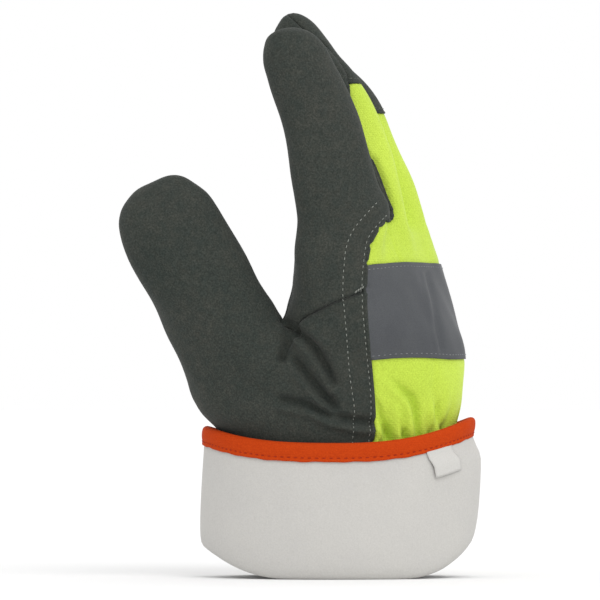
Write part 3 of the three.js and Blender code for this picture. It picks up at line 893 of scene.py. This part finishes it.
def tape_lift(x, y, z):
    creased = y < CREASE_BACK
    crease = np.where(creased, valley(path_distance(x, z, TAPE_CREASE), *CREASE_VALLEY), 0)
    ridge = np.where(creased, -valley(path_distance(x + 2.2, z, TAPE_CREASE), *CREASE_RIDGE), 0)
    return relief(x, y, z) + TAPE_LIFT + crease + ridge


points, _, tape, _ = split(points, pinned, back, tape_field)
surface_normals = form_normals(points)
reflective_tape = make_piece("reflective_tape_strip", tape, tape_lift, TAPE_WALL, lined=False)
coated_grey = patterned_material(
    "reflective_tape",
    {"beads": (3200, 2), "cloud": (45, 3)},
    [
        ("beads", [(0.3, (0.056, 0.060, 0.065)), (0.7, (0.084, 0.088, 0.094))]),
        ("cloud", [(0.3, (0.90, 0.90, 0.92)), (0.7, (1.08, 1.08, 1.07))]),
    ],
    [("cloud", 0.25), ("beads", 0.03)],
    Roughness=0.5,
    Specular_IOR_Level=0.2,
)
dress(reflective_tape, coated_grey)
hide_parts("reflective_tape")

# Stitching: pale thread in two rows on the leather beside the yellow, one row along each edge of the tape,
# one row on each cap, and a bar tack at the end of the thumb seam.
STITCH_PITCH, STITCH_LENGTH, STITCH_RADIUS = 2.7, 1.6, 0.19
STITCH_ARCH = (-0.30, 0.06, 0.14, 0.06, -0.30)
FAR_ROW_DISTANCES = (2.3, 9.0)
ROW_INSET = 2.0
BAR_TACK = [(28, 128.6), (23.2, 125.6)]
OUTER_ROW = [
    (37.5, 160.2), (33.6, 156.6), (30.7, 152.9), (28.7, 149.6), (27.9, 145.9), (27.4, 141.6), (26.9, 136.8),
    (26.6, 132.1), (26.7, 121.1), (27.6, 109.4), (28.7, 98.6), (29.6, 91), (30.5, 81.6), (30.7, 72),
    (29.7, 60.5), (29.5, 48),
]
INNER_ROW = [
    (33.8, 165.7), (30.6, 162.9), (28, 159.8), (26.2, 158), (23.3, 154.2), (21.6, 151.4), (20, 146.9),
    (19.2, 143.8), (18.7, 138.5), (18.2, 133.1), (18.2, 124.5), (19.1, 116.9), (20, 106.4), (21.2, 90.3),
    (22.7, 79.9), (23.6, 73.7), (23.2, 69.3), (22.6, 60.5), (22.5, 48),
]


def thread_material(name, light, dark):
    return patterned_material(
        name,
        {"twist": (1800, 2)},
        [("twist", [(0.3, dark), (0.7, light)])],
        [("twist", 0.05)],
        Roughness=0.6,
        Specular_IOR_Level=0.15,
    )


form_tree = BVHTree.FromPolygons(form_points.tolist(), form_quads.tolist())


def on_front(row):
    """Points given as X and Z put on the thumb side of the form."""
    hits = []
    for x, _, z in softened(evenly([(x, 0.0, z) for x, z in row], 1.0), 6):
        hit = form_tree.ray_cast(Vector((x, -100, z)), Vector((0, 1, 0)))[0]
        if hit is not None:
            hits.append(tuple(hit))
    return onto_form(hits)


def beside(path, distance):
    """A path moved sideways on the form into the leather."""
    normals = form_normals(path)
    sideways = unit(np.cross(np.gradient(path, axis=0), normals))
    trial = path + sideways * distance
    if fabric_field(*trial.T).mean() > fabric_field(*(path - sideways * distance).T).mean():
        trial = path - sideways * distance
    return softened(onto_form(trial), 2)


def stitches(path, height, pitch=STITCH_PITCH, length=STITCH_LENGTH, radius=STITCH_RADIUS):
    """Short raised threads along a path on the form, their ends sunk into the material."""
    path, normals = lifted(onto_form(evenly(path, 0.25)), height)
    lengths = lengths_along(path)
    arch = np.array(STITCH_ARCH)[:, None]
    parts = []
    start = pitch * 0.4
    while start + length < lengths[-1]:
        where = np.linspace(start, start + length, 5)
        line = between_points(where, lengths, path)
        up = between_points(where, lengths, normals)
        parts.append(swept(line + up * arch, up, radius, radius, 6))
        start += pitch
    return parts


def stitch_rows(rows, height, **size):
    return [part for row in rows for part in stitches(row, height, **size)]


thread = thread_material("pale_thread", (0.30, 0.31, 0.28), (0.17, 0.18, 0.16))
leather_rows = [on_front(OUTER_ROW), on_front(INNER_ROW)]
for path in edge_paths:
    if path[:, 1].mean() > 30 and path[:, 2].min() < 100:
        leather_rows += [beside(path, distance) for distance in FAR_ROW_DISTANCES]
bar_tack_rows = [on_front(BAR_TACK) + [0, 0, offset] for offset in (-0.3, 0.0, 0.3)]
stitch_parts = stitch_rows(leather_rows, LEATHER_LIFT)
stitch_parts += stitch_rows(bar_tack_rows, LEATHER_LIFT + 0.1, pitch=1.3, length=1.2, radius=0.18)
joined_piece("leather_stitching", stitch_parts, thread)

tape_middle = (TAPE_LOW + TAPE_HIGH) / 2
tape_rows = []
for path in smooth_borders(tape, tape_field):
    inward = ROW_INSET if path[:, 2].mean() < tape_middle else -ROW_INSET
    tape_rows.append(onto_form(path + [0, 0, inward]))
tape_stitch_parts = stitch_rows(tape_rows, TAPE_LIFT, length=1.5, radius=0.16)
grey_thread = thread_material("grey_thread", (0.26, 0.27, 0.28), (0.16, 0.17, 0.18))
joined_piece("tape_stitching", tape_stitch_parts, grey_thread)

cap_rows = [onto_form(path + [0, 0, ROW_INSET]) for path in smooth_borders(back, cap_field, 1.0)]
dark_thread = thread_material("dark_thread", (0.16, 0.17, 0.14), (0.08, 0.09, 0.08))
joined_piece("cap_stitching", stitch_rows(cap_rows, LEATHER_LIFT), dark_thread)

# The cuff: a long gauntlet of white brushed cotton turned up on itself, so its inside shows.
# The glove stands on the fold, which is flat in the middle and rises towards its two ends.
CUFF_INNER = {"x": 15.75, "half_x": 49.25, "half_y": 33.5}
CUFF_OUTER = {"x": 16.9, "half_x": 59.3, "half_y": 41.0}
CUFF_DRIFT, CUFF_DRIFT_CHANGE = 0.065, 0.015
CUFF_WALL = 2.2
CUFF_TOP = WRIST_SEAM - 0.6
FOLD_FLAT_SHARE = 0.38
FOLD_LEFT = {"rise": 12.6, "curve": 2.05}
FOLD_RIGHT = {"rise": 13.0, "curve": 4.0}
HEM_LOW = 59.9
HEM_LEFT = {"rise": 6.9, "curve": 3.1}
HEM_RIGHT = {"rise": 10.8, "curve": 2.4}
HEM_UNDER_BINDING = 1.4
CUFF_WAVE = 0.45
SWELL_RIGHT, SWELL_FROM, SWELL_TO = 4.5, 9.4, 15.4
CUFF_AROUND = 168


def fold_height(angle):
    share = (abs(math.cos(angle)) - FOLD_FLAT_SHARE) / (1 - FOLD_FLAT_SHARE)
    end = FOLD_LEFT if math.cos(angle) < 0 else FOLD_RIGHT
    return end["rise"] * max(share, 0) ** end["curve"]


def hem_height(angle):
    end = HEM_LEFT if math.cos(angle) < 0 else HEM_RIGHT
    return HEM_LOW + end["rise"] * abs(math.cos(angle)) ** end["curve"]


def cuff_point(layer, angle, out, z):
    x = layer["x"]
    if layer is CUFF_OUTER:
        down = hem_height(angle) - z
        x -= (CUFF_DRIFT + CUFF_DRIFT_CHANGE * math.cos(angle)) * down
        share = min(max((down - SWELL_FROM) / (SWELL_TO - SWELL_FROM), 0), 1)
        x += SWELL_RIGHT * share**2 * (3 - 2 * share) * max(math.cos(angle), 0) ** 2
    return (
        x + (layer["half_x"] + out) * math.cos(angle),
        (layer["half_y"] + out) * math.sin(angle),
        z,
    )


def cuff_wave(angle, share):
    """Slow waves of the turned-up layer, fading towards the hem and the fold."""
    swell = math.sin(angle * 3 + 0.7) + 0.6 * math.sin(angle * 5 + 2.1) + 0.4 * math.sin(angle * 11)
    return CUFF_WAVE * swell * math.sin(math.pi * min(max(share, 0), 1))


def cuff_profile(angle):
    fold = fold_height(angle)
    hem = hem_height(angle) - HEM_UNDER_BINDING
    wave = cuff_wave(angle, 0.5)
    low_wave = cuff_wave(angle, 0.25)
    halfway = (fold + 18 + hem) / 2
    inner, outer, wall = CUFF_INNER, CUFF_OUTER, CUFF_WALL
    ledge = fold + wall + 1.2
    # down the inside, round the fold, up the outside to the hem, and back between the two layers
    corners = [
        (inner, -wall, CUFF_TOP),
        (inner, -wall, fold + 16),
        (inner, -wall, fold + 8),
        (inner, -wall + 0.9, fold + 2.6),
        (inner, 0.8, fold + 0.1),
        (inner, 3.6, fold),
        (outer, -2.8, fold),
        (outer, -0.7, fold + 2.4),
        (outer, 0.3 + low_wave, fold + 8),
        (outer, 0.8 + wave, fold + 18),
        (outer, 0.5 + wave * 0.6, halfway),
        (outer, 0.1, hem - 14),
        (outer, 0.0, hem - 8),
        (outer, 0.0, hem),
        (outer, -wall, hem),
        (outer, -wall, hem - 8),
        (outer, -wall + 0.1, hem - 14),
        (outer, -wall + 0.4 + wave * 0.6, halfway),
        (outer, -wall - 0.1 + low_wave, fold + 9),
        (outer, -wall - 1.4, ledge),
        (inner, 1.2, ledge),
        (inner, 0.0, fold + 8),
        (inner, 0.0, fold + 16),
        (inner, 0.0, CUFF_TOP),
    ]
    return [cuff_point(layer, angle, out, z) for layer, out, z in corners]


def hoop(name, profile, material, around=CUFF_AROUND):
    """A closed band round the cuff from one profile at each angle, smoothed by subdivision."""
    rings = [profile(2 * math.pi * i / around) for i in range(around)]
    faces = ring_faces(around, len(rings[0]), True)
    piece = smooth_object(name, [point for ring in rings for point in ring], faces)
    smooth = piece.modifiers.new("smooth", "SUBSURF")
    smooth.levels = smooth.render_levels = 1
    dress(piece, material)
    return piece


brushed_cotton = patterned_material(
    "brushed_cotton",
    {"nap": (1400, 3), "knit": (420, 3), "cloud": (35, 3)},
    [
        ("nap", [(0.25, (0.475, 0.464, 0.442)), (0.75, (0.545, 0.534, 0.510))]),
        ("cloud", [(0.3, (0.975, 0.975, 0.978)), (0.7, (1.015, 1.015, 1.01))]),
    ],
    [("cloud", 0.35), ("knit", 0.08), ("nap", 0.06)],
    Roughness=0.92,
    Specular_IOR_Level=0.2,
    Sheen_Weight=0.1,
)
turned_up_cuff = hoop("turned_up_cuff", cuff_profile, brushed_cotton)
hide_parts("cuff")

# The binding: a woven orange tape folded over the hem of the cuff. It is sewn through near its lower
# edge with thread of its own colour, which draws it in there, and it puffs out above.
BINDING_HEIGHT, BINDING_THICKNESS = 8.5, 0.85
BINDING_GAP, BINDING_ROW = 0.25, 1.9
BINDING_HALF_X, BINDING_HALF_Y = 60, 41
BINDING_AROUND, BINDING_STITCHES = 240, 118
BINDING_ARCH, BINDING_THREAD = (-0.25, 0.03, 0.1, 0.03, -0.25), 0.24


def binding_profile(angle):
    hem = hem_height(angle)
    low = hem - BINDING_HEIGHT - 0.12 * math.sin(angle * 23) - 0.1 * math.sin(angle * 41 + 1)
    outside = BINDING_GAP + BINDING_THICKNESS
    inside = -CUFF_WALL - outside
    puff = 0.22 + 0.1 * math.sin(angle * 9) + 0.07 * math.sin(angle * 31)
    # up behind the cloth, over the hem and down its front, then back over the outer face of the tape
    corners = [
        (inside, low + 1),
        (inside + BINDING_THICKNESS, low + 1),
        (inside + BINDING_THICKNESS, hem - 1.2),
        (0.2, hem - 1.2),
        (0.1, low),
        (outside - 0.25, low - 0.1),
        (outside - 0.05, low + 1.1),
        (outside - 0.32, low + 1.9),
        (outside + 0.05, low + 2.7),
        (outside + puff, low + 4.6),
        (outside + 0.1, hem - 1.0),
        (outside - 1.2, hem + 0.1),
        (inside + 1.2, hem + 0.1),
        (inside, hem - 1.2),
    ]
    return [cuff_point(CUFF_OUTER, angle, out, z) for out, z in corners]


woven_orange = patterned_material(
    "orange_binding",
    {"rib": (420, 0.4, "Z"), "fine": (1600, 2)},
    [("fine", [(0.3, (0.43, 0.038, 0.003)), (0.7, (0.53, 0.056, 0.005))])],
    [("rib", 0.07), ("fine", 0.06)],
    Roughness=0.8,
    Specular_IOR_Level=0.08,
)
cuff_edge = hoop("orange_binding", binding_profile, woven_orange, BINDING_AROUND)
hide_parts("cuff_binding")

red_parts = []
for i in range(BINDING_STITCHES):
    line, up = [], []
    for k, arch in enumerate(BINDING_ARCH):
        angle = 2 * math.pi * (i + 0.14 + 0.72 * k / 4) / BINDING_STITCHES
        low = hem_height(angle) - BINDING_HEIGHT + BINDING_ROW
        line.append(cuff_point(CUFF_OUTER, angle, BINDING_THICKNESS + arch, low))
        up.append((math.cos(angle) / BINDING_HALF_X, math.sin(angle) / BINDING_HALF_Y, 0))
    red_parts.append(swept(np.array(line), unit(np.array(up)), BINDING_THREAD, BINDING_THREAD, 6))
red_thread = thread_material("red_thread", (0.36, 0.024, 0.003), (0.24, 0.014, 0.002))
binding_thread = joined_piece("binding_stitching", red_parts, red_thread)

# The label: a small white ribbon caught under the binding at its top and free below, so it stands off
# the cuff a little. It is left bare.
LABEL_FROM, LABEL_TO = -49.6, -33.8
LABEL_COLUMNS, LABEL_ROWS = 14, 10
LABEL_UNDER, LABEL_TWIST, LABEL_WALL = 0.6, 3.4, 0.4
LABEL_BOTTOM, LABEL_BOTTOM_RISE = 44.4, 3.6

label_vertices, label_faces = [], []
for row in range(LABEL_ROWS + 1):
    for column in range(LABEL_COLUMNS + 1):
        share, down = column / LABEL_COLUMNS, row / LABEL_ROWS
        angle = math.radians(LABEL_FROM + (LABEL_TO - LABEL_FROM) * share + LABEL_TWIST * down)
        top = hem_height(angle) - BINDING_HEIGHT + LABEL_UNDER
        bottom = LABEL_BOTTOM + LABEL_BOTTOM_RISE * share
        lift = 0.75 + 0.35 * math.sin(math.pi * 0.5 * down) * (1 - 0.6 * share) + 0.1 * math.sin(share * 5)
        label_vertices.append(cuff_point(CUFF_OUTER, angle, lift, top + (bottom - top) * down))
for row in range(LABEL_ROWS):
    for column in range(LABEL_COLUMNS):
        a = row * (LABEL_COLUMNS + 1) + column
        label_faces.append((a, a + LABEL_COLUMNS + 1, a + LABEL_COLUMNS + 2, a + 1))
ribbon = patterned_material(
    "label_ribbon",
    {"weave": (2200, 2)},
    [("weave", [(0.3, (0.50, 0.49, 0.465)), (0.7, (0.56, 0.55, 0.525))])],
    [("weave", 0.03)],
    Roughness=0.5,
)
label = joined_piece("blank_label", [(label_vertices, label_faces)], ribbon)
label_wall = label.modifiers.new("wall", "SOLIDIFY")
label_wall.thickness = LABEL_WALL * MM
label_wall.offset = 0
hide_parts("label")

# A plain pale floor and soft studio light: a wide soft sun from above the camera and a little to its
# right, a weak lamp on the right, and a white surround.
SUN_SOFTNESS, SUN_STRENGTH, SUN_DIRECTION = 38, 0.85, (-0.4, 1.0, -1.0)
FILL_PLACE, FILL_TARGET, FILL_SIZE, FILL_WATTS = (1.2, -0.8, 0.5), (0, 0, 0.12), 0.8, 1.0
scene = bpy.context.scene
floor_mesh = bpy.data.meshes.new("floor")
floor_mesh.from_pydata([(-6, -6, 0), (6, -6, 0), (6, 6, 0), (-6, 6, 0)], [], [(0, 1, 2, 3)])
floor = bpy.data.objects.new("floor", floor_mesh)
scene.collection.objects.link(floor)
floor_greys = [(0.3, (0.89, 0.89, 0.89)), (0.7, (0.91, 0.91, 0.91))]
dress(floor, patterned_material("pale_floor", {"haze": (3, 2)}, [("haze", floor_greys)], [], Roughness=0.9))


def add_light(name, kind, energy, direction, place=(0, 0, 0)):
    light = bpy.data.lights.new(name, kind)
    light.energy = energy
    lamp = bpy.data.objects.new(name, light)
    lamp.location = place
    lamp.rotation_euler = Vector(direction).to_track_quat("-Z", "Y").to_euler()
    scene.collection.objects.link(lamp)
    return light


add_light("key", "SUN", SUN_STRENGTH, SUN_DIRECTION).angle = math.radians(SUN_SOFTNESS)
fill_direction = Vector(FILL_TARGET) - Vector(FILL_PLACE)
add_light("fill", "AREA", FILL_WATTS, fill_direction, FILL_PLACE).size = FILL_SIZE

world = bpy.data.worlds.new("pale_room")
world.use_nodes = True
backdrop = world.node_tree.nodes["Background"]
backdrop.inputs["Color"].default_value = (1, 1, 1, 1)
backdrop.inputs["Strength"].default_value = 1.0
scene.world = world
scene.view_settings.view_transform = "Standard"

# The camera looks level from the thumb side, as the photograph does, and from far off, so that near and
# far parts keep their true sizes.
VIEW_DISTANCE, VIEW_WIDTH, VIEW_SIDE, VIEW_HEIGHT = 4.0, 0.264, -0.0004, 0.1225
SENSOR_WIDTH = 36
camera = bpy.data.objects.new("camera", bpy.data.cameras.new("camera"))
scene.collection.objects.link(camera)
scene.camera = camera
camera.location = (VIEW_SIDE, -VIEW_DISTANCE, VIEW_HEIGHT)
camera.rotation_euler = (math.pi / 2, 0, 0)
camera.data.sensor_width = SENSOR_WIDTH
camera.data.lens = SENSOR_WIDTH * (VIEW_DISTANCE - 0.02) / VIEW_WIDTH
